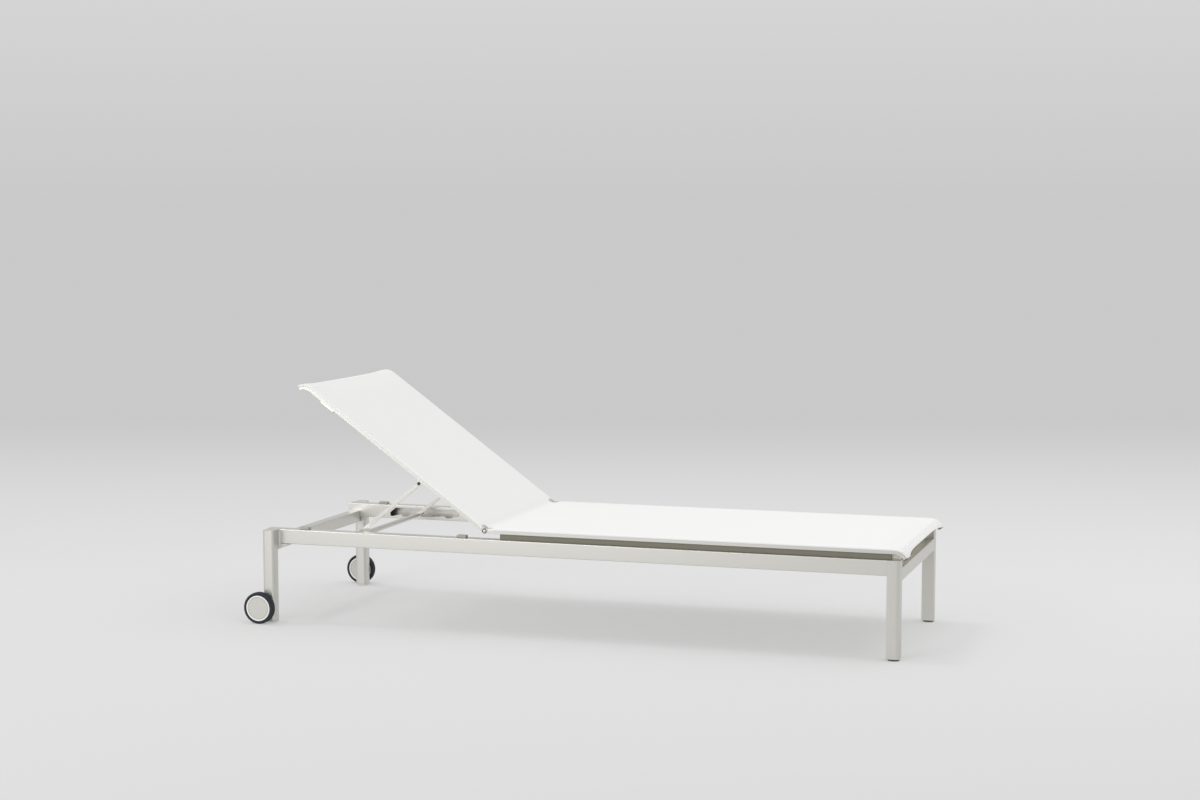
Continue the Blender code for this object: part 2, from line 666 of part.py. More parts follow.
# ---------------------------------------------------------------- prop
def build_prop():
    """The prop in its own frame: its pin at the origin and its cross rod along -X."""
    swing = axis_empty("prop_axis", pin_place(RECLINE), -math.degrees(PROP_ANGLE))
    rod = (-PROP_LENGTH, 0.0)
    bar = arc((0.0, 0.0), PROP_EYE, -90, 90, 10) + arc(rod, PROP_EYE, 90, 270, 10)
    low = PROP_Y - PROP_HALF
    high = PROP_Y + PROP_HALF
    tip = RAIL_INNER_Y + PEG_REACH
    peg = [(0, tip), (PEG_RADIUS - 0.001, tip), (PEG_RADIUS, tip - 0.001),
           (PEG_RADIUS, high + GAP), (0, high + GAP)]
    for label, side in SIDES.items():
        arm = across("prop_arm_" + label, [bar], side, low, high, POWDER_COAT, swing)
        soften(arm, 0.002)
        hole(arm, (0.0, 0.0), side, low, high)
        turned("prop_peg_" + label, peg, rod, side, STEEL, 20, parent=swing)
    reach = low - GAP
    prism("prop_rod", [circle(rod, PROP_ROD_RADIUS, 24)], "Y", -reach, reach, POWDER_COAT, swing)


build_rails()
build_rear_legs()
build_front_legs()
build_crossbars()
build_pads()
build_wheels()
build_seat()
build_back()
build_prop()
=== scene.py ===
"""Looks of the reclining sun lounger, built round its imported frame.

Laid out as an add-on and run as a script: each operator makes one piece or one group of like pieces.
+X runs from the head end to the foot end, +Y to the lounger's left side, +Z up, all in metres.
"""

import json
import math

import bmesh
import bpy
from mathutils import Matrix, Vector


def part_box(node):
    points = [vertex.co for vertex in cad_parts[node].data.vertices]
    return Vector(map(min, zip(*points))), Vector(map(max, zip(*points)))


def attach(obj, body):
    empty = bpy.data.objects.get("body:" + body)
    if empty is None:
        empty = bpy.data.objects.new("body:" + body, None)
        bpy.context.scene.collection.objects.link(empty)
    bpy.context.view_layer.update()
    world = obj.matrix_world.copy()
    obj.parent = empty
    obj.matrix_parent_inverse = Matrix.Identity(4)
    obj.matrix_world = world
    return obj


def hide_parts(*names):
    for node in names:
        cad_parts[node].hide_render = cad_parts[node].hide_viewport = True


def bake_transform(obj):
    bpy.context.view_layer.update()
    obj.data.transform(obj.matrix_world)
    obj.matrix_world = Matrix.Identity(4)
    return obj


bl_info = {
    "name": "Sun lounger looks",
    "version": (1, 0, 0),
    "blender": (4, 5, 0),
    "location": "3D View > Sidebar > Lounger",
    "description": "Sling, frame, wheels and studio of a reclining sun lounger",
    "category": "Object",
}

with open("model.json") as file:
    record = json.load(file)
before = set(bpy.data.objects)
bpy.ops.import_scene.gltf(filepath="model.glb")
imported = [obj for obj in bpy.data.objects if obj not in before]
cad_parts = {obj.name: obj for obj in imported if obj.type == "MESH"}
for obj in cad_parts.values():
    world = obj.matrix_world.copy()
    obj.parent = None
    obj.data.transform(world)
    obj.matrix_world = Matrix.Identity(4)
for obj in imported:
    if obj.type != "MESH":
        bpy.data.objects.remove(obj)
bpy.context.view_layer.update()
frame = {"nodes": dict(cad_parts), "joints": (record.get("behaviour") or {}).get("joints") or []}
NODES = frame["nodes"]
SIDES = {"left": 1.0, "right": -1.0}


def joint(name):
    """One of the frame's joints."""
    return next(entry for entry in frame["joints"] if entry["name"] == name)


# places read from the frame
PIVOT = Vector(joint("recline")["pos_m"])
RECLINE = math.radians(-joint("recline")["range_deg"][0])
PROFILE_LOW, PROFILE_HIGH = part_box("seat_profile_left")
PROFILE_IN = PROFILE_LOW.y
PROFILE_OUT = PROFILE_HIGH.y
PROFILE_TOP = PROFILE_HIGH.z - PIVOT.z
AXLE = {label: Vector(joint("wheel_" + label + "_spin")["pos_m"]) for label in SIDES}
TYRE_LOW, TYRE_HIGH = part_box("tyre_left")
WHEEL_RADIUS = (TYRE_HIGH.z - TYRE_LOW.z) / 2
WHEEL_WIDTH = TYRE_HIGH.y - TYRE_LOW.y
WHEEL_MIDDLE = (TYRE_HIGH.y + TYRE_LOW.y) / 2

CURL_RADIUS = 0.038             # both ends of the bed curl down on this radius
CURL = math.radians(60.0)
SEAT_STRAIGHT = 1.0138 - PIVOT.x - CURL_RADIUS * math.sin(CURL)
BACK_STRAIGHT = 0.7004
CURL_ARC = CURL_RADIUS * CURL
FITTING_GAP = 0.00035           # between touching pieces of the frame
GROOVE_LIFT = 0.0030            # middle of the sling groove above the profile's middle
CLOTH_GAP = 0.0003              # between the cloth and the profile
PROFILE_CORNER = 0.0012         # rounding of the profile under the cloth
TUCK = 0.0006                   # radius of the cloth's turn into the groove
TUCK_DEPTH = 0.0016             # cloth beyond that turn
CURL_ROW = 0.0028               # pitch of the sling's rows along a curl
NEAR_CURL = 0.12                # stretch before a curl with closer rows


# ---------------------------------------------------------------- sizes and finishes
def length_property(name, description, default, low, high):
    """A length that a user can change."""
    return bpy.props.FloatProperty(
        name=name, description=description, default=default, min=low, max=high, unit="LENGTH")


class LoungerSizes(bpy.types.PropertyGroup):
    """Sizes of the soft and fine pieces."""

    fabric: length_property("Fabric thickness", "Thickness of the woven mesh", 0.0009, 0.0004, 0.002)
    weave: length_property(
        "Weave pitch", "Distance from one thread of the mesh to the next", 0.0016, 0.0005, 0.005)
    hem: length_property(
        "Hem width", "Width of the folded hem at each end of the sling", 0.024, 0.01, 0.05)
    hollow: length_property(
        "Hem hollow", "How far the tension draws the middle of a hem in from the tips", 0.009, 0.0, 0.04)
    sag: length_property("Sag", "How far the sling hangs in its middle", 0.0025, 0.0, 0.01)
    cut: length_property(
        "Corner cut", "How far the taut cloth lies inside the curl", 0.0045, 0.0, 0.01)
    bend: length_property(
        "Hinge bend", "Length of sling on each side of the hinge that bends", 0.030, 0.01, 0.06)
    notch: length_property(
        "Hinge notch", "Radius of the cut-out that clears a hinge bolt", 0.0115, 0.008, 0.02)
    stitch: length_property(
        "Stitch length", "Length of one stitch of the hem seams", 0.0034, 0.002, 0.006)
    edge: length_property("Edge rounding", "Rounding of machined edges", 0.0005, 0.0001, 0.002)


def colour_property(name, description, default):
    """A colour that a user can change."""
    return bpy.props.FloatVectorProperty(
        name=name, description=description, default=default, subtype="COLOR", size=3, min=0.0, max=1.0)


class LoungerFinishes(bpy.types.PropertyGroup):
    """Colours of the finishes."""

    coat: colour_property("Powder coat", "Matt off-white coat of the frame", (0.70, 0.69, 0.65))
    mesh: colour_property("Mesh", "White yarn of the sling", (0.83, 0.83, 0.825))
    tyre: colour_property("Tyre", "Blue-black rubber", (0.030, 0.038, 0.062))
    hub: colour_property("Hub", "Off-white moulding of the wheels", (0.67, 0.66, 0.625))
    # Painted highlight: the ring's paler colour stands in for the highlight on the hub's raised lip.
    ring: colour_property("Hub ring", "Paler ring round the hub", (0.95, 0.94, 0.86))
    # Painted shade: this dark taupe stands in for the shade in the riser strip's recess under the seat
    # profile.
    strip: colour_property("Riser strip", "Taupe moulding under the seat", (0.25, 0.235, 0.185))
    pad: colour_property("Rest pad", "Light taupe moulding of the pads on the rails", (0.47, 0.46, 0.40))
    # Painted light: this pale warm colour makes the foot spreader, which sits in shade under the hem,
    # look lit; the spreader has the frame's powder coat.
    spreader_painted_light: colour_property("Foot spreader", "Beige cross tube under the foot end", (0.93, 0.87, 0.74))
    pin: colour_property("Blackened steel", "Prop pins", (0.045, 0.043, 0.040))
    cap: colour_property("End cap", "Dark grey moulding of caps and glides", (0.075, 0.072, 0.066))
    steel: colour_property("Steel", "Brushed stainless steel", (0.60, 0.59, 0.57))
    floor: colour_property("Floor", "Pale studio floor", (0.77, 0.77, 0.77))
    # Painted shade: the floor is made darker in front of the lounger, to tone down the fill lamp's light
    # there.
    floor_front_painted_shade: colour_property("Floor in front", "Floor in front of the lounger", (0.64, 0.64, 0.64))
    floor_lit: colour_property("Floor glow", "Floor's own light near the lounger", (0.76, 0.76, 0.76))
    wall: colour_property("Backdrop", "Backdrop where the floor runs into it", (0.585, 0.585, 0.585))
    overhead: colour_property("Backdrop top", "Backdrop higher up", (0.70, 0.70, 0.70))


# ---------------------------------------------------------------- shader groups
SURFACE_OUTPUTS = (
    ("Colour", "NodeSocketColor"), ("Roughness", "NodeSocketFloat"), ("Height", "NodeSocketFloat"),
)


def new_group(name, inputs, outputs):
    """A shader node group with its sockets, and its input and output nodes."""
    group = bpy.data.node_groups.new(name, "ShaderNodeTree")
    for socket, kind, default in inputs:
        made = group.interface.new_socket(socket, in_out="INPUT", socket_type=kind)
        if default is not None:
            made.default_value = default
    for socket, kind in outputs:
        group.interface.new_socket(socket, in_out="OUTPUT", socket_type=kind)
    return group, group.nodes.new("NodeGroupInput"), group.nodes.new("NodeGroupOutput")


def math_node(tree, operation, first, second=None, clamp=False):
    """A Math node; its inputs are sockets or numbers."""
    node = tree.nodes.new("ShaderNodeMath")
    node.operation = operation
    node.use_clamp = clamp
    for index, value in enumerate((first, second)):
        if value is None:
            continue
        if isinstance(value, (int, float)):
            node.inputs[index].default_value = value
        else:
            tree.links.new(value, node.inputs[index])
    return node.outputs[0]


def mix_colour(tree, factor, first, second):
    """A colour mix; each input is a socket or a value."""
    node = tree.nodes.new("ShaderNodeMix")
    node.data_type = "RGBA"
    for socket, value in ((node.inputs[0], factor), (node.inputs[6], first), (node.inputs[7], second)):
        if isinstance(value, bpy.types.NodeSocket):
            tree.links.new(value, socket)
        else:
            socket.default_value = value
    return node.outputs[2]


def noise(tree, vector, scale, detail=2.0, roughness=0.5):
    """A noise texture's value; the scale is a socket or a number."""
    node = tree.nodes.new("ShaderNodeTexNoise")
    node.inputs["Detail"].default_value = detail
    node.inputs["Roughness"].default_value = roughness
    tree.links.new(vector, node.inputs["Vector"])
    if isinstance(scale, bpy.types.NodeSocket):
        tree.links.new(scale, node.inputs["Scale"])
    else:
        node.inputs["Scale"].default_value = scale
    return node.outputs["Fac"]


def grain_group():
    """Fine grain with a soft mottle, for coats, mouldings and rubber."""
    inputs = (
        ("Vector", "NodeSocketVector", None),
        ("Colour", "NodeSocketColor", (0.8, 0.8, 0.8, 1.0)),
        ("Grain scale", "NodeSocketFloat", 1500.0),
        ("Mottle scale", "NodeSocketFloat", 9.0),
        ("Mottle", "NodeSocketFloat", 0.05),
        ("Gloss low", "NodeSocketFloat", 0.45),
        ("Gloss high", "NodeSocketFloat", 0.6),
    )
    group, enter, leave = new_group("surface_grain", inputs, SURFACE_OUTPUTS)
    fine = noise(group, enter.outputs["Vector"], enter.outputs["Grain scale"], 3.0, 0.6)
    mottle = noise(group, enter.outputs["Vector"], enter.outputs["Mottle scale"], 4.0, 0.55)
    black = mix_colour(group, enter.outputs["Mottle"], enter.outputs["Colour"], (0.0, 0.0, 0.0, 1.0))
    tinted = mix_colour(group, mottle, black, enter.outputs["Colour"])
    dusted = mix_colour(group, math_node(group, "MULTIPLY", fine, 0.06), tinted, (0.0, 0.0, 0.0, 1.0))
    spread = math_node(group, "SUBTRACT", enter.outputs["Gloss high"], enter.outputs["Gloss low"])
    varied = math_node(group, "MULTIPLY", spread, mottle)
    rough = math_node(group, "ADD", enter.outputs["Gloss low"], varied)
    group.links.new(dusted, leave.inputs["Colour"])
    group.links.new(rough, leave.inputs["Roughness"])
    group.links.new(fine, leave.inputs["Height"])
    return group


def weave_group():
    """Plain weave of round yarns in metres of cloth; each crossing of the gaps is a pinhole, painted
    grey with the shade seen through it.
    """
    inputs = (
        ("Vector", "NodeSocketVector", None),
        ("Pitch", "NodeSocketFloat", 0.0016),
        ("Colour", "NodeSocketColor", (0.86, 0.86, 0.85, 1.0)),
    )
    group, enter, leave = new_group("mesh_weave", inputs, SURFACE_OUTPUTS)
    axes = group.nodes.new("ShaderNodeSeparateXYZ")
    group.links.new(enter.outputs["Vector"], axes.inputs[0])
    waves = []
    for axis in ("X", "Y"):
        turns = math_node(group, "DIVIDE", axes.outputs[axis], enter.outputs["Pitch"])
        waves.append(math_node(group, "SINE", math_node(group, "MULTIPLY", turns, math.pi)))
    warp = math_node(group, "ABSOLUTE", waves[0])
    weft = math_node(group, "ABSOLUTE", waves[1])
    product = math_node(group, "MULTIPLY", waves[0], waves[1])
    over = math_node(group, "ADD", math_node(group, "MULTIPLY", product, 0.5), 0.5)
    under = math_node(group, "SUBTRACT", 1.0, over)
    warp_height = math_node(group, "MULTIPLY", warp, math_node(group, "ADD", over, 0.35))
    weft_height = math_node(group, "MULTIPLY", weft, math_node(group, "ADD", under, 0.35))
    height = math_node(group, "MAXIMUM", warp_height, weft_height)
    pinhole = math_node(group, "LESS_THAN", math_node(group, "MAXIMUM", warp, weft), 0.34)
    slub = noise(group, enter.outputs["Vector"], 60.0, 3.0, 0.6)
    dust = math_node(group, "MULTIPLY", slub, 0.05)
    yarn = mix_colour(group, dust, enter.outputs["Colour"], (0.6, 0.6, 0.59, 1.0))
    rough = math_node(group, "ADD", math_node(group, "MULTIPLY", slub, 0.1), 0.62)
    # Painted shade: each pinhole is darkened to the grey of the shade seen through it.
    yarn_with_painted_hole_shade = mix_colour(group, math_node(group, "MULTIPLY", pinhole, 0.45), yarn, (0.30, 0.30, 0.29, 1.0))
    group.links.new(yarn_with_painted_hole_shade, leave.inputs["Colour"])
    group.links.new(rough, leave.inputs["Roughness"])
    group.links.new(height, leave.inputs["Height"])
    return group


GROUPS = {}


def grouped(key, build):
    """A node group, made the first time it is asked for."""
    if key not in GROUPS:
        GROUPS[key] = build()
    return GROUPS[key]


def material(name, group, values, vector="Object", bump=0.3, distance=0.0001, plain=None):
    """A Principled material fed by a node group on object or UV coordinates."""
    if name in bpy.data.materials:
        return bpy.data.materials[name]
    made = bpy.data.materials.new(name)
    made.use_nodes = True
    tree = made.node_tree
    shader = tree.nodes["Principled BSDF"]
    source = tree.nodes.new("ShaderNodeTexCoord")
    effect = tree.nodes.new("ShaderNodeGroup")
    effect.node_tree = group
    for socket, value in values.items():
        effect.inputs[socket].default_value = value
    tree.links.new(source.outputs[vector], effect.inputs["Vector"])
    tree.links.new(effect.outputs["Colour"], shader.inputs["Base Color"])
    tree.links.new(effect.outputs["Roughness"], shader.inputs["Roughness"])
    height = tree.nodes.new("ShaderNodeBump")
    height.inputs["Strength"].default_value = bump
    height.inputs["Distance"].default_value = distance
    tree.links.new(effect.outputs["Height"], height.inputs["Height"])
    tree.links.new(height.outputs["Normal"], shader.inputs["Normal"])
    for socket, value in (plain or {}).items():
        shader.inputs[socket].default_value = value
    return made


def rgba(colour):
    """A colour property as four numbers."""
    return (*colour, 1.0)


def powder_coat():
    """Matt coat with a fine orange peel."""
    colours = bpy.context.scene.lounger_finishes
    values = {"Colour": rgba(colours.coat), "Grain scale": 900.0, "Mottle scale": 7.0, "Mottle": 0.035,
              "Gloss low": 0.6, "Gloss high": 0.75}
    return material("powder_coat", grouped("grain", grain_group), values, bump=0.25, distance=0.00012,
                    plain={"Specular IOR Level": 0.35})


def moulded(name, colour, mottle=0.06, low=0.45, high=0.62):
    """Moulded plastic with a spark-eroded grain."""
    values = {"Colour": rgba(colour), "Grain scale": 2200.0, "Mottle scale": 22.0, "Mottle": mottle,
              "Gloss low": low, "Gloss high": high}
    return material(name, grouped("grain", grain_group), values, bump=0.3, distance=0.00008)


def tyre_rubber():
    """Soft rubber with a dusty bloom."""
    values = {"Colour": rgba(bpy.context.scene.lounger_finishes.tyre), "Grain scale": 1200.0,
              "Mottle scale": 35.0, "Mottle": 0.35, "Gloss low": 0.5, "Gloss high": 0.75}
    return material("tyre_rubber", grouped("grain", grain_group), values, bump=0.35, distance=0.00015)


def stainless():
    """Brushed stainless steel."""
    values = {"Colour": rgba(bpy.context.scene.lounger_finishes.steel), "Grain scale": 3000.0,
              "Mottle scale": 60.0, "Mottle": 0.12, "Gloss low": 0.24, "Gloss high": 0.4}
    return material("stainless_steel", grouped("grain", grain_group), values, bump=0.2, distance=0.00004,
                    plain={"Metallic": 1.0})


def mesh_fabric():
    """White mesh on the cloth's own lengths."""
    scene = bpy.context.scene
    values = {"Colour": rgba(scene.lounger_finishes.mesh), "Pitch": scene.lounger_sizes.weave}
    return material("mesh_fabric", grouped("weave", weave_group), values, vector="UV", bump=0.5,
                    distance=0.00025,
                    plain={"Subsurface Weight": 0.85, "Subsurface Scale": 0.004,
                           "Subsurface Radius": (1.0, 1.0, 1.0)})


def thread():
    """Polyester thread of the seams."""
    return moulded("seam_thread", (0.80, 0.80, 0.79), 0.04, 0.5, 0.6)


# ---------------------------------------------------------------- modelling by hand
def deselect():
    """Nothing selected, out of edit mode."""
    if bpy.context.object is not None and bpy.context.object.mode != "OBJECT":
        bpy.ops.object.mode_set(mode="OBJECT")
    for chosen in list(bpy.context.selected_objects):
        chosen.select_set(False)


def pick(piece):
    """Only this piece selected and active."""
    deselect()
    bpy.context.view_layer.objects.active = piece
    piece.select_set(True)


def named(name, look):
    """The piece just added, with its name and material."""
    piece = bpy.context.object
    piece.name = name
    piece.data.name = name
    piece.data.materials.clear()
    piece.data.materials.append(look)
    return piece


def settle(piece):
    """Place, turn and scale moved into the mesh."""
    pick(piece)
    bpy.ops.object.transform_apply(location=True, rotation=True, scale=True)
    return piece


def apply_modifiers(piece):
    """Every modifier applied, in order."""
    pick(piece)
    for modifier in list(piece.modifiers):
        bpy.ops.object.modifier_apply(modifier=modifier.name)
    return piece


def bevel(piece, width, segments=3, angle=40.0):
    """Rounded edges, applied."""
    made = piece.modifiers.new("edges", "BEVEL")
    made.width = width
    made.segments = segments
    made.limit_method = "ANGLE"
    made.angle_limit = math.radians(angle)
    made.harden_normals = False
    return apply_modifiers(piece)


def smooth(piece, angle=38.0):
    """Smooth shading that keeps sharp edges."""
    pick(piece)
    bpy.ops.object.shade_smooth_by_angle(angle=math.radians(angle))
    weighted = piece.modifiers.new("normals", "WEIGHTED_NORMAL")
    weighted.keep_sharp = True
    return apply_modifiers(piece)


def turned(name, section, centre, look, closed=False, steps=96):
    """A round piece on an axis along Y: a ring of points is laid out as its section and spun.

    The section's points are (radius, distance along Y from the centre), anticlockwise when closed."""
    deselect()
    bpy.ops.mesh.primitive_circle_add(vertices=len(section), radius=1.0)
    piece = named(name, look)
    for vertex, (radius, out) in zip(piece.data.vertices, section):
        vertex.co = (radius, out, 0.0)
    bpy.ops.object.mode_set(mode="EDIT")
    if not closed:
        cage = bmesh.from_edit_mesh(piece.data)
        last = len(section) - 1
        for edge in cage.edges:
            edge.select_set({vertex.index for vertex in edge.verts} == {0, last})
        bmesh.update_edit_mesh(piece.data)
        bpy.ops.mesh.delete(type="EDGE")
    bpy.ops.mesh.select_all(action="SELECT")
    bpy.ops.mesh.spin(steps=steps, angle=2 * math.pi, center=(0.0, 0.0, 0.0), axis=(0.0, 1.0, 0.0))
    bpy.ops.mesh.select_all(action="SELECT")
    bpy.ops.mesh.remove_doubles(threshold=0.00001)
    bpy.ops.mesh.normals_make_consistent(inside=False)
    bpy.ops.object.mode_set(mode="OBJECT")
    piece.location = centre
    return smooth(settle(piece))


def refined(node, look, name, edge=None, segments=2, closed=False):
    """A finished piece on a node's own shape: points merged, flat faces joined and edges rounded.

    A closed piece is a tube whose ends are shut by welded plates."""
    deselect()
    piece = bpy.data.objects.new(name, NODES[node].data.copy())
    piece.data.materials.clear()
    piece.data.materials.append(look)
    bpy.context.scene.collection.objects.link(piece)
    pick(piece)
    bpy.ops.object.mode_set(mode="EDIT")
    bpy.ops.mesh.select_all(action="SELECT")
    bpy.ops.mesh.remove_doubles(threshold=0.00001)
    if closed:
        bpy.ops.mesh.convex_hull()
        bpy.ops.mesh.select_all(action="SELECT")
    bpy.ops.mesh.customdata_custom_splitnormals_clear()
    bpy.ops.mesh.dissolve_limited(angle_limit=math.radians(0.6))
    bpy.ops.object.mode_set(mode="OBJECT")
    if edge:
        bevel(piece, edge, segments, 42.0)
    return smooth(piece, 36.0)


def stretch(piece, axis, ends):
    """Outermost points along an axis moved out by the fitting gap, so that a joint closes."""
    pick(piece)
    places = [vertex.co[axis] for vertex in piece.data.vertices]
    for end in ends:
        limit = max(places) if end > 0 else min(places)
        bpy.ops.object.mode_set(mode="EDIT")
        cage = bmesh.from_edit_mesh(piece.data)
        for vertex in cage.verts:
            vertex.select_set(abs(vertex.co[axis] - limit) < 0.0001)
        cage.select_flush(True)
        bmesh.update_edit_mesh(piece.data)
        move = [0.0, 0.0, 0.0]
        move[axis] = end * FITTING_GAP
        bpy.ops.transform.translate(value=move)
        bpy.ops.object.mode_set(mode="OBJECT")
    return piece


def finish_piece(piece, body, slot, *nodes):
    """The piece rides on its body and stands for its nodes, which are hidden. The slot is not used."""
    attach(piece, body)
    if nodes:
        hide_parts(*nodes)
    return piece


# ---------------------------------------------------------------- sling
def bed_point(along, lift):
    """A point of the flat bed and its curled ends.

    It lies along from the hinge, the head end being negative, and lift above it."""
    sign = 1.0 if along >= 0 else -1.0
    straight = SEAT_STRAIGHT if sign > 0 else BACK_STRAIGHT
    run = abs(along)
    angle = max(0.0, run - straight) / CURL_RADIUS
    x = min(run, straight) + (CURL_RADIUS + lift) * math.sin(angle)
    z = lift - (CURL_RADIUS + lift) * (1.0 - math.cos(angle))
    return sign * x, z


def cloth_end(sign):
    """Distance from the hinge to the end of the bed, on the foot side (+) or the head side (-)."""
    return (SEAT_STRAIGHT if sign > 0 else BACK_STRAIGHT) + CURL_ARC


def reclined(along, y, lift, bend):
    """A point of the sling in its place: back rest raised, bend spread over the hinge."""
    x, z = bed_point(along, lift)
    share = min(1.0, max(0.0, (bend - along) / (2 * bend)))
    angle = RECLINE * share * share * (3 - 2 * share)
    c, s = math.cos(angle), math.sin(angle)
    return Vector((PIVOT.x + x * c + z * s, y, PIVOT.z - x * s + z * c))


def cross_section(reach, fabric):
    """Where the cloth lies across the bed, for a distance of cloth from the middle: (y, height)."""
    top = PROFILE_TOP + CLOTH_GAP + fabric / 2
    side = PROFILE_OUT + CLOTH_GAP + fabric / 2
    turn = PROFILE_CORNER + CLOTH_GAP + fabric / 2
    flat = side - turn
    if reach <= flat:
        return reach, top
    quarter = turn * math.pi / 2
    if reach <= flat + quarter:
        angle = (reach - flat) / turn
        return flat + turn * math.sin(angle), top - turn + turn * math.cos(angle)
    drop = top - turn - GROOVE_LIFT - TUCK
    rest = reach - flat - quarter
    if rest <= drop:
        return side, top - turn - rest
    rest -= drop
    corner = TUCK * math.pi / 2
    if rest <= corner:
        angle = rest / TUCK
        return side - TUCK + TUCK * math.cos(angle), GROOVE_LIFT + TUCK - TUCK * math.sin(angle)
    return side - TUCK - (rest - corner), GROOVE_LIFT


def cloth_reach(fabric):
    """Cloth from the middle to the end of the tuck in the groove."""
    side = PROFILE_OUT + CLOTH_GAP + fabric / 2
    turn = PROFILE_CORNER + CLOTH_GAP + fabric / 2
    drop = PROFILE_TOP + CLOTH_GAP + fabric / 2 - turn - GROOVE_LIFT - TUCK
    return side - turn + turn * math.pi / 2 + drop + TUCK * math.pi / 2 + TUCK_DEPTH


def drawn_in(along, y, sizes):
    """Distance along the bed after the tension has drawn the middle of each hem in."""
    sign = 1.0 if along >= 0 else -1.0
    end = cloth_end(sign)
    ramp = min(1.0, max(0.0, (abs(along) - end + 0.16) / 0.16))
    across = min(1.0, abs(y) / (PROFILE_IN - 0.004))
    hollow = (1.0 - across ** 6) * sizes.hollow
    return sign * (abs(along) - hollow * ramp * ramp)


def sag_at(along, y, sizes):
    """How far the cloth hangs below its profiles."""
    across = min(1.0, abs(y) / (PROFILE_IN - 0.002))
    share = min(1.0, max(0.0, (along + BACK_STRAIGHT) / (BACK_STRAIGHT + SEAT_STRAIGHT)))
    span = 0.5 - 0.5 * math.cos(2 * math.pi * share)
    run = abs(along) - (SEAT_STRAIGHT if along >= 0 else BACK_STRAIGHT)
    near_end = min(1.0, max(0.0, 1.0 - abs(run - 0.4 * CURL_ARC) / (1.6 * CURL_ARC)))
    cut = sizes.cut * (1.0 - across ** 6) * near_end * near_end * (3 - 2 * near_end)
    return sizes.sag * (1.0 - across * across) * (0.35 + 0.65 * span) + cut


def sling_point(along, reach, sizes, lift=0.0):
    """A point of the sling from its lengths along and across the cloth."""
    sign = 1.0 if reach >= 0 else -1.0
    y, height = cross_section(abs(reach), sizes.fabric)
    height += quilting(along, sizes) - sag_at(along, y, sizes)
    return reclined(drawn_in(along, y, sizes), sign * y, height + lift, sizes.bend)


def spaced(start, end, pitch):
    """Evenly spaced values from start to end, about a pitch apart."""
    count = max(1, round(abs(end - start) / pitch))
    return [start + (end - start) * step / count for step in range(count + 1)]


def hem_seams(sizes):
    """Distances of the two rows of stitches from the end of the cloth."""
    return sizes.hem - 0.0035, sizes.hem - 0.0095


def quilting(along, sizes):
    """The stitches' furrows, and the fullness of the doubled cloth between them and the end."""
    inset = cloth_end(1.0 if along >= 0 else -1.0) - abs(along)
    furrow = sum(math.exp(-((inset - seam) / 0.0011) ** 2) for seam in hem_seams(sizes))
    full = min(1.0, max(0.0, (sizes.hem + 0.0015 - inset) / 0.003))
    return 0.0007 * full - 0.0011 * furrow


def sling_rows(sizes):
    """Places of the sling's rows along the bed, close together at the curls and the hinge."""
    back_end = -cloth_end(-1.0)
    seat_end = cloth_end(1.0)
    slit = 0.0003
    notch = [-sizes.notch * math.cos(math.pi * step / 12) for step in range(13)]
    rows = spaced(back_end, -BACK_STRAIGHT, CURL_ROW)[:-1]
    rows += spaced(-BACK_STRAIGHT, -BACK_STRAIGHT + NEAR_CURL, 0.012)[:-1]
    rows += spaced(-BACK_STRAIGHT + NEAR_CURL, -sizes.bend, 0.022)[:-1]
    rows += spaced(-sizes.bend, -sizes.notch - slit, 0.0035)
    rows += notch
    rows += spaced(sizes.notch + slit, sizes.bend, 0.0035)
    rows += spaced(sizes.bend, SEAT_STRAIGHT - NEAR_CURL, 0.022)[1:]
    rows += spaced(SEAT_STRAIGHT - NEAR_CURL, SEAT_STRAIGHT, 0.012)[1:]
    rows += spaced(SEAT_STRAIGHT, seat_end, CURL_ROW)[1:]
    for end, sign in ((seat_end, 1.0), (-back_end, -1.0)):
        for seam in hem_seams(sizes):
            rows += [sign * (end - seam + step * 0.0007) for step in range(-4, 5)]
    return sorted(set(round(row, 5) for row in rows))


def sling_edge(along, reach, sizes):
    """Reach of the cloth at a row: whole, or cut back round a hinge bolt."""
    if abs(along) > sizes.notch + 0.0001:
        return reach
    middle = (PROFILE_IN + PROFILE_OUT) / 2
    return middle - math.sqrt(max(0.0, sizes.notch ** 2 - along ** 2))


def lay_grid(name, look, rows, columns, point, uv=None):
    """A sheet from a grid primitive, each of its points laid by a function of its row and column."""
    deselect()
    bpy.ops.mesh.primitive_grid_add(x_subdivisions=columns - 1, y_subdivisions=rows - 1, size=1.0)
    piece = named(name, look)
    for index, vertex in enumerate(piece.data.vertices):
        vertex.co = point(index // columns, index % columns)
    if uv is not None:
        layer = piece.data.uv_layers[0]
        layer.name = "cloth"
        for loop in piece.data.loops:
            layer.data[loop.index].uv = uv(loop.vertex_index // columns, loop.vertex_index % columns)
    return piece


def thicken(piece, thickness, offset=0.0):
    """A sheet gets its thickness, with closed edges."""
    wall = piece.modifiers.new("thickness", "SOLIDIFY")
    wall.thickness = thickness
    wall.offset = offset
    wall.use_even_offset = True
    apply_modifiers(piece)
    pick(piece)
    bpy.ops.object.shade_smooth_by_angle(angle=math.radians(50.0))
    return piece


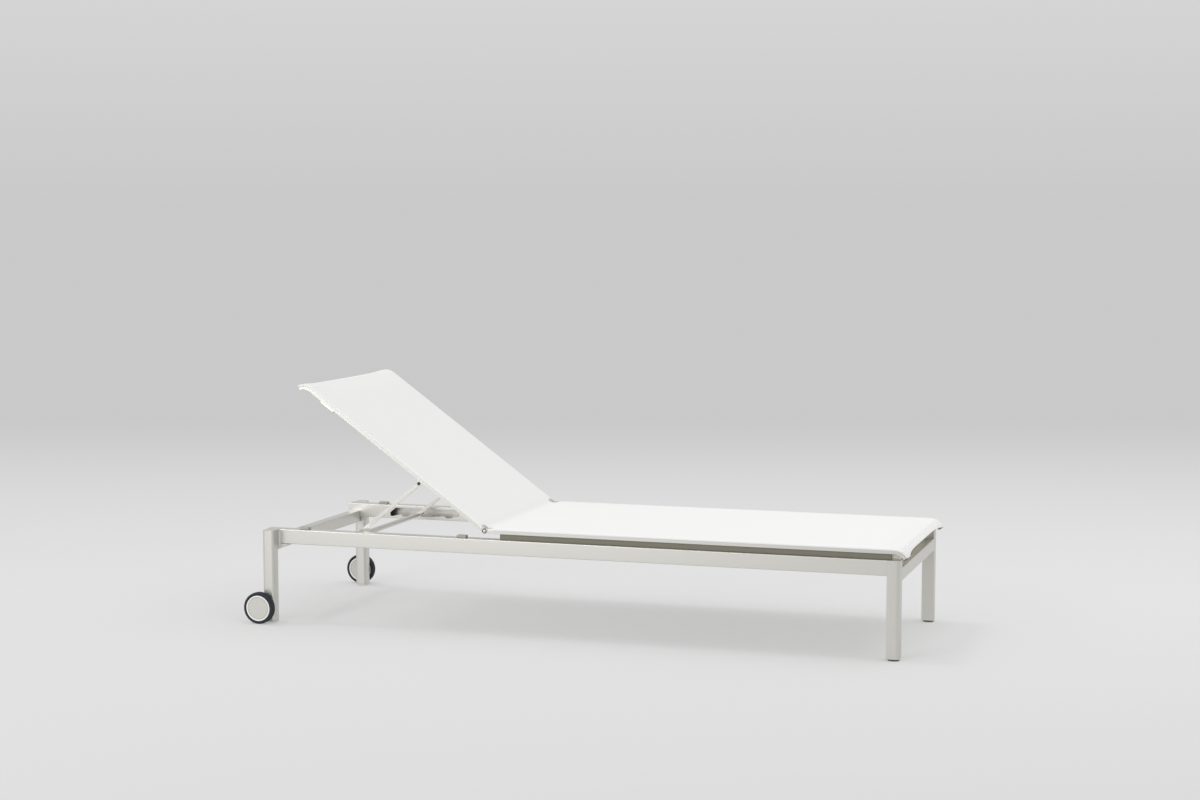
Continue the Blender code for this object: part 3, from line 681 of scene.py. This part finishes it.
class LOUNGER_OT_sling(bpy.types.Operator):
    """Lay the mesh sling over the hinge in one piece, from the head hem to the foot hem"""

    bl_idname = "lounger.sling"
    bl_label = "Sling"

    def execute(self, context):
        sizes = context.scene.lounger_sizes
        look = mesh_fabric()
        whole = cloth_reach(sizes.fabric)
        inner = PROFILE_IN - 0.006
        middle = [inner * math.sin(math.pi / 2 * value) for value in spaced(-1.0, 1.0, 1 / 14)]
        rows = sling_rows(sizes)
        outer_count = 22

        def reach_at(row, column):
            edge = sling_edge(rows[row], whole, sizes)
            if column < outer_count:
                return -inner - (edge - inner) * (1.0 - column / outer_count)
            if column >= outer_count + len(middle):
                return inner + (edge - inner) * (column - outer_count - len(middle) + 1) / outer_count
            return middle[column - outer_count]

        columns = len(middle) + 2 * outer_count
        sling = lay_grid("sling", look, len(rows), columns,
                         lambda row, column: sling_point(rows[row], reach_at(row, column), sizes),
                         lambda row, column: (reach_at(row, column), rows[row]))
        pick(sling)
        bpy.ops.object.mode_set(mode="EDIT")
        bpy.ops.mesh.select_all(action="SELECT")
        bpy.ops.mesh.normals_make_consistent(inside=False)
        bpy.ops.object.mode_set(mode="OBJECT")
        if sling.data.polygons[len(sling.data.polygons) // 2].normal.z < 0:
            sling.data.flip_normals()
        thicken(sling, sizes.fabric)
        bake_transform(sling)
        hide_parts("seat_sling", "back_sling")
        hems = [self.hem(name, sign, body, sizes, look) for name, sign, body in (
            ("foot_hem", 1.0, "frame"), ("head_hem", -1.0, "backrest"))]
        return {"FINISHED"}

    def hem(self, name, sign, body, sizes, look):
        """The cloth folded back under the end, from the bull nose to the seam."""
        end = cloth_end(sign)
        fold = sizes.fabric * 0.62
        reach = PROFILE_IN - 0.0015
        crease = end - 0.0004
        turns = [math.pi * step / 8 for step in range(9)]
        nose = [(crease + fold * math.sin(turn), fold * math.cos(turn) - fold) for turn in turns]
        under = [(crease - distance, -2 * fold) for distance in spaced(0.0, sizes.hem, 0.003)[1:]]
        places = nose + under
        across = [reach * math.sin(math.pi / 2 * value) for value in spaced(-1.0, 1.0, 1 / 20)]
        piece = lay_grid(name, look, len(places), len(across),
                         lambda row, column: sling_point(sign * places[row][0], across[column], sizes,
                                                         places[row][1] - 0.0002),
                         lambda row, column: (across[column], sign * (end + row * 0.003)))
        thicken(piece, sizes.fabric * 0.9)
        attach(piece, body)
        return piece


class LOUNGER_OT_seams(bpy.types.Operator):
    """Sew the two rows of stitches of each hem"""

    bl_idname = "lounger.seams"
    bl_label = "Hem seams"

    def execute(self, context):
        sizes = context.scene.lounger_sizes
        bead = self.bead()
        for name, sign, body in (("foot_seam", 1.0, "frame"), ("head_seam", -1.0, "backrest")):
            end = cloth_end(sign)
            stitches = []
            for inset in hem_seams(sizes):
                for y in spaced(-PROFILE_IN + 0.004, PROFILE_IN - 0.004, sizes.stitch * 1.35):
                    stitches.append(self.stitch(bead, sign * (end - inset), y, sizes))
            pick(stitches[0])
            for stitch in stitches:
                stitch.select_set(True)
            bpy.ops.object.join()
            seam = settle(named(name, thread()))
            bpy.ops.object.shade_smooth()
            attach(seam, body)
        return {"FINISHED"}

    def bead(self):
        """A coarse ball one unit across, which each stitch is drawn out of."""
        deselect()
        bpy.ops.mesh.primitive_uv_sphere_add(segments=6, ring_count=5, radius=0.5)
        mesh = bpy.context.object.data
        bpy.data.objects.remove(bpy.context.object)
        return mesh

    def stitch(self, bead, along, y, sizes):
        """One stitch: a short round bar that dips into the cloth at both ends."""
        place = sling_point(along, y, sizes, sizes.fabric / 2)
        ahead = sling_point(along, y + 0.001, sizes, sizes.fabric / 2)
        above = sling_point(along, y, sizes, sizes.fabric / 2 + 0.001)
        run = (ahead - place).normalized()
        up = (above - place).normalized()
        piece = bpy.data.objects.new("stitch", bead.copy())
        bpy.context.scene.collection.objects.link(piece)
        side = up.cross(run)
        turn = Matrix((side, run, up)).transposed().to_4x4()
        shape = Matrix.Diagonal((0.0006, sizes.stitch, 0.0005, 1.0))
        piece.matrix_world = Matrix.Translation(place) @ turn @ shape
        return piece


# ---------------------------------------------------------------- frame pieces
class LOUNGER_OT_frame(bpy.types.Operator):
    """Finish the rails, legs, cross tubes, sling profiles and their small fittings"""

    bl_idname = "lounger.frame_pieces"
    bl_label = "Frame and back rest"

    def execute(self, context):
        sizes = context.scene.lounger_sizes
        colours = context.scene.lounger_finishes
        coat = powder_coat()
        # The riser strip's dark colour is painted shade from its recess under the seat profile.
        strip = moulded("riser_strip_painted_shade", colours.strip)
        cap = moulded("dark_plastic", colours.cap)
        steel = stainless()
        pad = moulded("pad_plastic", colours.pad)
        pale = moulded("pale_plastic", colours.hub)
        spreader_painted_light = moulded("painted_light_coat", colours.spreader_painted_light)
        paired = (
            ("side_rail", "frame", coat, "powder_coat", None),
            ("rail_end_cap", "frame", coat, "powder_coat", sizes.edge),
            ("rear_leg", "frame", coat, "powder_coat", sizes.edge),
            ("rear_foot_cap", "frame", pale, "wheel_plastic", sizes.edge),
            ("front_leg", "frame", coat, "powder_coat", sizes.edge),
            ("front_glide", "frame", cap, "dark_plastic", None),
            ("wheel_bracket", "frame", coat, "powder_coat", sizes.edge),
            ("riser_strip", "frame", strip, "grey_plastic", sizes.edge),
            ("seat_profile", "frame", coat, "powder_coat", None),
            ("seat_end_cap", "frame", cap, "dark_plastic", sizes.edge),
            ("rest_pad_head", "frame", pad, "grey_plastic", 2 * sizes.edge),
            ("rest_pad_hinge", "frame", pad, "grey_plastic", 2 * sizes.edge),
            ("back_profile", "backrest", coat, "powder_coat", None),
            ("back_end_cap", "backrest", pale, "wheel_plastic", sizes.edge),
            ("hinge_plate", "backrest", steel, "stainless_steel", sizes.edge),
            ("prop_bracket", "backrest", coat, "powder_coat", sizes.edge),
            ("prop_arm", "prop", coat, "powder_coat", None),
        )
        for node, body, look, slot, edge in paired:
            for label in SIDES:
                full = node + "_" + label
                piece = refined(full, look, "finished_" + full, edge)
                if node == "side_rail":
                    stretch(piece, 0, (1, -1))
                finish_piece(piece, body, slot, full)
        single = (
            ("rear_crossbar", "frame"), ("front_crossbar", "frame"), ("seat_spreader_foot", "frame"),
            ("seat_spreader_mid", "frame"), ("seat_spreader_hinge", "frame"),
            ("back_spreader_upper", "backrest"), ("back_spreader_lower", "backrest"),
        )
        for node, body in single:
            # The foot spreader's pale warm colour is painted light on a shaded face.
            look = spreader_painted_light if node == "seat_spreader_foot" else coat
            piece = refined(node, look, "finished_" + node, 2 * sizes.edge, closed=True)
            finish_piece(stretch(piece, 1, (1, -1)), body, "powder_coat", node)
        return {"FINISHED"}


class LOUNGER_OT_prop(bpy.types.Operator):
    """Turn the prop's cross rod and its pegs"""

    bl_idname = "lounger.prop_rod"
    bl_label = "Prop rod"

    def execute(self, context):
        low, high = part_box("prop_rod")
        radius = (high.z - low.z) / 2
        centre = (low + high) / 2
        half = (high.y - low.y) / 2
        section = ((0.0, -half), (radius, -half), (radius, half), (0.0, half))
        rod = turned("prop_cross_rod", section, centre, powder_coat(), steps=48)
        finish_piece(rod, "prop", "powder_coat", "prop_rod")
        for label, side in SIDES.items():
            low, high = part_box("prop_peg_" + label)
            radius = (high.z - low.z) / 2
            half = (high.y - low.y) / 2
            tip = 0.0012
            section = [(0.0, -half), (radius, -half), (radius, half - tip)]
            section += [(radius - tip * 0.3, half - tip * 0.3), (radius - tip, half), (0.0, half)]
            if side < 0:
                section = [(r, -out) for r, out in reversed(section)]
            peg = turned("peg_" + label, section, (low + high) / 2, stainless(), steps=40)
            finish_piece(peg, "prop", "stainless_steel", "prop_peg_" + label)
        return {"FINISHED"}


# ---------------------------------------------------------------- bolts
def bolt_section(radius, head, length, head_height):
    """A shank with a domed head, head end first: (radius, distance from the head's face)."""
    dome = [(head * math.sin(turn), head_height * 0.45 * (1.0 - math.cos(turn)))
            for turn in (0.0, 0.5, 1.0, 1.35)]
    rim = [(head, head_height * 0.55), (head, head_height)]
    return dome + rim + [(radius, head_height), (radius, length), (0.0, length)]


class LOUNGER_OT_bolts(bpy.types.Operator):
    """Turn the hinge bolts, prop pins and axle bolts, with a hexagon socket in the head of each hinge
    bolt and prop pin
    """

    bl_idname = "lounger.bolts"
    bl_label = "Bolts and pins"

    def execute(self, context):
        kinds = (
            ("pivot_bolt", "frame", 0.0030, 0.0050, 0.0021),
            ("prop_pin", "backrest", 0.0030, 0.0050, 0.0022),
        )
        black = moulded("blackened_steel", context.scene.lounger_finishes.pin, 0.1, 0.35, 0.5)
        for node, body, radius, head, head_height in kinds:
            look = stainless() if node == "pivot_bolt" else black
            for label, side in SIDES.items():
                low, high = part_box(node + "_" + label)
                centre = (low + high) / 2
                length = high.y - low.y
                face = length / 2
                outline = bolt_section(radius, head, length - 0.0024, head_height)[:-1]
                section = [(r, side * (face - out)) for r, out in outline]
                nut = head * 1.12
                section += [(radius, side * (-face + 0.0026)), (nut, side * (-face + 0.0026))]
                section += [(nut, side * (-face + 0.0004)), (nut - 0.0004, side * -face)]
                section += [(0.0, side * -face)]
                if side < 0:
                    section.reverse()
                bolt = turned(node + "_turned_" + label, section, centre, look, steps=48)
                self.socket(bolt, centre, side, face, head * 0.42)
                finish_piece(bolt, body, "stainless_steel", node + "_" + label)
        for label, side in SIDES.items():
            self.washer(label, side)
            low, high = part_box("axle_bolt_" + label)
            centre = (low + high) / 2
            face = (high.y - low.y) / 2
            outline = bolt_section(0.0055, 0.0095, 2 * face, 0.0020)
            section = [(r, side * (face - out)) for r, out in outline]
            if side < 0:
                section.reverse()
            bolt = turned("axle_" + label, section, centre, stainless(), steps=48)
            finish_piece(bolt, "frame", "stainless_steel", "axle_bolt_" + label)
        return {"FINISHED"}

    def washer(self, label, side):
        """Dark nylon washer under the head of a hinge bolt."""
        low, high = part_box("pivot_bolt_" + label)
        sunk, half_thick, bore, rim = 0.00215, 0.0001, 0.0033, 0.0072
        seat = (high.y if side > 0 else low.y) - side * sunk
        thick = side * half_thick
        section = [(bore, seat - thick), (rim, seat - thick), (rim + 0.0002, seat)]
        section += [(rim, seat + thick), (bore, seat + thick)]
        if side < 0:
            section.reverse()
        centre = Vector((PIVOT.x, 0.0, PIVOT.z))
        look = moulded("washer_nylon", bpy.context.scene.lounger_finishes.cap)
        washer = turned("hinge_washer_" + label, section, centre, look, closed=True, steps=48)
        finish_piece(washer, "frame", "dark_plastic")

    def socket(self, bolt, centre, side, face, radius):
        """A hexagon socket sunk in the head."""
        deselect()
        mouth = centre + Vector((0.0, side * face, 0.0))
        bpy.ops.mesh.primitive_cylinder_add(vertices=6, radius=radius, depth=0.003, location=mouth,
                                            rotation=(math.pi / 2, 0.0, 0.0))
        cutter = settle(bpy.context.object)
        cut = bolt.modifiers.new("socket", "BOOLEAN")
        cut.object = cutter
        apply_modifiers(bolt)
        bpy.data.objects.remove(cutter)
        smooth(bolt)


# ---------------------------------------------------------------- wheels
class LOUNGER_OT_wheels(bpy.types.Operator):
    """Turn the tyres, hubs, rings and hub caps"""

    bl_idname = "lounger.wheels"
    bl_label = "Wheels"

    def execute(self, context):
        colours = context.scene.lounger_finishes
        disc_look = moulded("wheel_plastic", colours.hub, 0.03, 0.4, 0.52)
        # The ring's paler colour is a painted highlight.
        ring_highlight_look = moulded("wheel_ring_painted_highlight", colours.ring, 0.02, 0.35, 0.45)
        for label, side in SIDES.items():
            centre = Vector((AXLE[label].x, side * WHEEL_MIDDLE, AXLE[label].z))
            self.tyre(label, centre)
            self.hub(label, side, centre, disc_look)
            self.rings(label, centre, ring_highlight_look)
            self.cap(label, side, centre, disc_look)
        return {"FINISHED"}

    def tyre(self, label, centre):
        """Tyre with a crowned tread, two fine grooves and rounded shoulders."""
        half = WHEEL_WIDTH / 2
        rim = 0.0399
        shoulder = 0.0048
        side = [(rim, -half + 0.0026), (rim + 0.0004, -half + 0.0007), (rim + 0.0016, -half)]
        for step in range(1, 9):
            turn = math.pi / 2 * step / 8
            side.append((WHEEL_RADIUS - 0.0003 - shoulder * (1.0 - math.sin(turn)),
                         -half + shoulder * (1.0 - math.cos(turn))))
        groove = ((-0.0042, 0.0), (-0.0040, 0.0007), (-0.0034, 0.0007), (-0.0032, 0.0))
        tread = [(WHEEL_RADIUS - depth, y) for y, depth in groove]
        mirrored = [(radius, -y) for radius, y in reversed(side + tread)]
        section = side + tread + mirrored
        tyre = turned("rubber_tyre_" + label, section, centre, tyre_rubber(), closed=True, steps=128)
        finish_piece(tyre, "wheel_" + label, "tyre_rubber", "tyre_" + label)

    def hub(self, label, side, centre, look):
        """Hub with sunk faces and a bore for the axle."""
        half = WHEEL_WIDTH / 2
        rim = 0.0396
        ring_in = 0.0345
        faces = []
        for sign in (-1.0, 1.0):
            sunk = 0.0034
            face = [(rim, sign * (half - 0.0032)), (ring_in + 0.0001, sign * (half - 0.0030)),
                    (ring_in - 0.0002, sign * (half - sunk)), (0.0125, sign * (half - sunk))]
            faces.append(face)
        outer_boss = [(0.0105, side * (half - 0.0034)), (0.0105, side * (half - 0.0062)),
                      (0.0058, side * (half - 0.0062))]
        inner_boss = [(0.0112, -side * (half - 0.0004)), (0.0104, -side * half), (0.0058, -side * half)]
        left_boss, right_boss = (outer_boss, inner_boss) if side > 0 else (inner_boss, outer_boss)
        section = faces[0][::-1] + faces[1] + left_boss + right_boss[::-1]
        hub = turned("moulded_hub_" + label, section, centre, look, closed=True, steps=96)
        finish_piece(hub, "wheel_" + label, "wheel_plastic", "wheel_hub_" + label)

    def rings(self, label, centre, look):
        """The ring round each face of the hub; its paler colour is a painted highlight on the raised
        lip.
        """
        half = WHEEL_WIDTH / 2
        for place_name, sign in (("outer", 1.0), ("inner", -1.0)):
            inner_r, outer_r = 0.0346, 0.0395
            arch = []
            for step in range(9):
                turn = math.pi * step / 8
                middle = (inner_r + outer_r) / 2
                arch.append((middle + (outer_r - inner_r) / 2 * math.cos(turn),
                             sign * (half - 0.0020 + 0.0020 * math.sin(turn))))
            base = sign * (half - 0.0030)
            section = [(outer_r, base)] + arch + [(inner_r, base)]
            if sign < 0:
                section.reverse()
            ring = turned("hub_ring_" + place_name + "_" + label, section, centre, look, closed=True)
            finish_piece(ring, "wheel_" + label, "wheel_plastic")

    def cap(self, label, side, centre, look):
        """Slightly crowned cap over the outer face."""
        half = WHEEL_WIDTH / 2
        edge = 0.0336
        back = half - 0.0031
        crown = [(0.0, half - 0.0006), (0.012, half - 0.00062), (0.024, half - 0.00075)]
        groove = [(edge - 0.0026, half - 0.0009), (edge - 0.0021, half - 0.0012)]
        groove += [(edge - 0.0015, half - 0.0012), (edge - 0.0010, half - 0.0010)]
        rim = [(edge - 0.0003, half - 0.0013), (edge, half - 0.0018), (edge, back), (0.0, back)]
        section = [(radius, side * out) for radius, out in crown + groove + rim]
        if side < 0:
            section.reverse()
        cap = turned("hub_disc_" + label, section, centre, look, steps=96)
        finish_piece(cap, "wheel_" + label, "wheel_plastic", "hub_cap_" + label)


# ---------------------------------------------------------------- studio
def area_light(name, place, target, size, power):
    """A square soft light aimed at a point."""
    data = bpy.data.lights.new(name, "AREA")
    data.shape = "SQUARE"
    data.size = size
    data.energy = power
    light = bpy.data.objects.new(name, data)
    bpy.context.scene.collection.objects.link(light)
    light.location = place
    light.rotation_euler = (Vector(target) - Vector(place)).to_track_quat("-Z", "Y").to_euler()
    return light


class LOUNGER_OT_stage(bpy.types.Operator):
    """Set up the pale floor, the soft lights and the camera"""

    bl_idname = "lounger.stage"
    bl_label = "Studio"

    def execute(self, context):
        scene = context.scene
        self.floor(scene)
        self.surroundings(scene)
        sun = bpy.data.lights.new("key", "SUN")
        sun.energy = 0.36
        sun.angle = math.radians(14.0)
        key = bpy.data.objects.new("key", sun)
        scene.collection.objects.link(key)
        key.rotation_euler = Vector((-0.50, 0.02, 1.0)).to_track_quat("Z", "Y").to_euler()
        area_light("fill", (-2.6, -5.8, 2.1), (-0.1, 0.0, 0.3), 3.2, 112.0)
        area_light("overhead", (1.8, 0.3, 4.4), (0.0, 0.0, 0.0), 4.0, 52.0)
        data = bpy.data.cameras.new("camera")
        data.sensor_width = 36.0
        data.lens = 63.66
        camera = bpy.data.objects.new("camera", data)
        scene.collection.objects.link(camera)
        camera.location = (2.0253, -6.1833, 1.2775)
        camera.rotation_euler = (math.radians(84.81), 0.0, math.radians(18.07))
        scene.camera = camera
        scene.view_settings.view_transform = "Standard"
        return {"FINISHED"}

    def floor(self, scene):
        """A wide pale floor, partly lit by itself and darkened in front by painted shade, that runs
        softly into the backdrop far away.
        """
        colours = scene.lounger_finishes
        deselect()
        bpy.ops.mesh.primitive_circle_add(vertices=96, radius=60.0, fill_type="NGON")
        look = bpy.data.materials.new("studio_floor")
        look.use_nodes = True
        tree = look.node_tree
        shader = tree.nodes["Principled BSDF"]
        shader.inputs["Roughness"].default_value = 0.9
        shader.inputs["Specular IOR Level"].default_value = 0.1
        place = tree.nodes.new("ShaderNodeTexCoord")
        mapping = tree.nodes.new("ShaderNodeMapping")
        mapping.inputs["Rotation"].default_value = (0.0, 0.0, math.radians(-18.0))
        tree.links.new(place.outputs["Object"], mapping.inputs["Vector"])
        axes = tree.nodes.new("ShaderNodeSeparateXYZ")
        tree.links.new(mapping.outputs["Vector"], axes.inputs[0])
        # Painted shade: the floor's colour darkens towards the front, toning down the fill lamp's light
        # there.
        near = tree.nodes.new("ShaderNodeMapRange")
        near.inputs["From Min"].default_value = -2.4
        near.inputs["From Max"].default_value = 0.4
        tree.links.new(axes.outputs["Y"], near.inputs["Value"])
        floor_colour_with_front_shade = mix_colour(tree, near.outputs["Result"], rgba(colours.floor_front_painted_shade), rgba(colours.floor))
        tree.links.new(floor_colour_with_front_shade, shader.inputs["Base Color"])
        fade = tree.nodes.new("ShaderNodeMapRange")
        fade.interpolation_type = "SMOOTHSTEP"
        fade.inputs["From Min"].default_value = 0.6
        fade.inputs["From Max"].default_value = 6.5
        tree.links.new(axes.outputs["Y"], fade.inputs["Value"])
        glow = tree.nodes.new("ShaderNodeEmission")
        tone = mix_colour(tree, fade.outputs["Result"], rgba(colours.floor_lit), rgba(colours.wall))
        tree.links.new(tone, glow.inputs["Color"])
        share = tree.nodes.new("ShaderNodeMapRange")
        share.inputs["To Min"].default_value = 0.42
        tree.links.new(fade.outputs["Result"], share.inputs["Value"])
        blend = tree.nodes.new("ShaderNodeMixShader")
        tree.links.new(share.outputs["Result"], blend.inputs[0])
        tree.links.new(shader.outputs[0], blend.inputs[1])
        tree.links.new(glow.outputs[0], blend.inputs[2])
        tree.links.new(blend.outputs[0], tree.nodes["Material Output"].inputs["Surface"])
        named("studio_floor", look)

    def surroundings(self, scene):
        """Soft grey all round, a little paler overhead."""
        colours = scene.lounger_finishes
        world = bpy.data.worlds.new("studio")
        scene.world = world
        world.use_nodes = True
        tree = world.node_tree
        background = tree.nodes["Background"]
        direction = tree.nodes.new("ShaderNodeTexCoord")
        axes = tree.nodes.new("ShaderNodeSeparateXYZ")
        tree.links.new(direction.outputs["Generated"], axes.inputs[0])
        rise = tree.nodes.new("ShaderNodeMapRange")
        rise.inputs["From Min"].default_value = 0.0
        rise.inputs["From Max"].default_value = 0.14
        tree.links.new(axes.outputs["Z"], rise.inputs["Value"])
        colour = mix_colour(tree, rise.outputs["Result"], rgba(colours.wall), rgba(colours.overhead))
        tree.links.new(colour, background.inputs["Color"])
        background.inputs["Strength"].default_value = 1.0


# ---------------------------------------------------------------- panel and registration
OPERATORS = (
    LOUNGER_OT_stage, LOUNGER_OT_frame, LOUNGER_OT_prop, LOUNGER_OT_bolts, LOUNGER_OT_wheels,
    LOUNGER_OT_sling, LOUNGER_OT_seams,
)


class LOUNGER_PT_panel(bpy.types.Panel):
    """Buttons and settings of the sun lounger"""

    bl_idname = "LOUNGER_PT_panel"
    bl_label = "Sun lounger"
    bl_space_type = "VIEW_3D"
    bl_region_type = "UI"
    bl_category = "Lounger"

    def draw(self, context):
        for operator in OPERATORS:
            self.layout.operator(operator.bl_idname)
        for group in (context.scene.lounger_sizes, context.scene.lounger_finishes):
            for name in group.__annotations__:
                self.layout.prop(group, name)


CLASSES = (LoungerSizes, LoungerFinishes, *OPERATORS, LOUNGER_PT_panel)


def register():
    """Register the classes and their settings."""
    for entry in CLASSES:
        bpy.utils.register_class(entry)
    bpy.types.Scene.lounger_sizes = bpy.props.PointerProperty(type=LoungerSizes)
    bpy.types.Scene.lounger_finishes = bpy.props.PointerProperty(type=LoungerFinishes)


def unregister():
    """Remove the settings and the classes."""
    del bpy.types.Scene.lounger_finishes
    del bpy.types.Scene.lounger_sizes
    for entry in reversed(CLASSES):
        bpy.utils.unregister_class(entry)


def main():
    """Make every piece in order."""
    register()
    bpy.ops.lounger.stage()
    bpy.ops.lounger.frame_pieces()
    bpy.ops.lounger.prop_rod()
    bpy.ops.lounger.bolts()
    bpy.ops.lounger.wheels()
    bpy.ops.lounger.sling()
    bpy.ops.lounger.seams()


if __name__ == "__main__":
    main()
